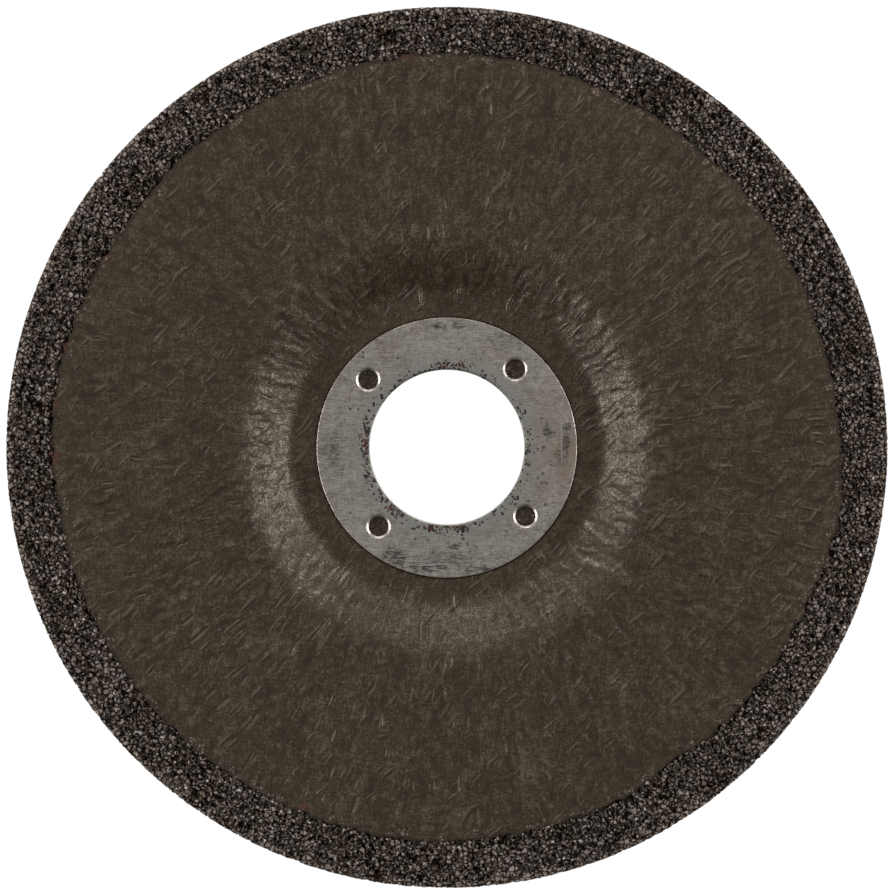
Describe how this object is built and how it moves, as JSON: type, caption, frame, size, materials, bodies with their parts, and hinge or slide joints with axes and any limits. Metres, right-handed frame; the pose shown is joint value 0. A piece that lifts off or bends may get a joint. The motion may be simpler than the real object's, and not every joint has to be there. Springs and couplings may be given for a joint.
{
  "type": "grinding disc",
  "caption": "Round resin-bonded grinding disc with a depressed centre, a cover sheet inside a bare coarse rim, and a stamped steel ring lining the bore.",
  "frame": {"origin": "on the bore's axis at the back face of the hub, which the disc rests on", "axes": "+Z along the bore axis from the back of the hub towards the recessed working side; +Y is up in the picture and +X is right"},
  "size_m": [0.125, 0.125, 0.0106],
  "materials": {
    "abrasive": "coarse dark grey-brown abrasive grain in resin, with open pits and small glints",
    "cover": "matt dark brown resin-soaked fibre sheet with fine radial wrinkles",
    "ring_steel": "satin stamped steel with fine straight brush lines, smudges and pitting round the bore"
  },
  "bodies": {
    "root": {"abrasive_body": "abrasive", "cover_sheet": "cover", "hub_ring": "ring_steel"}
  },
  "joints": []
}
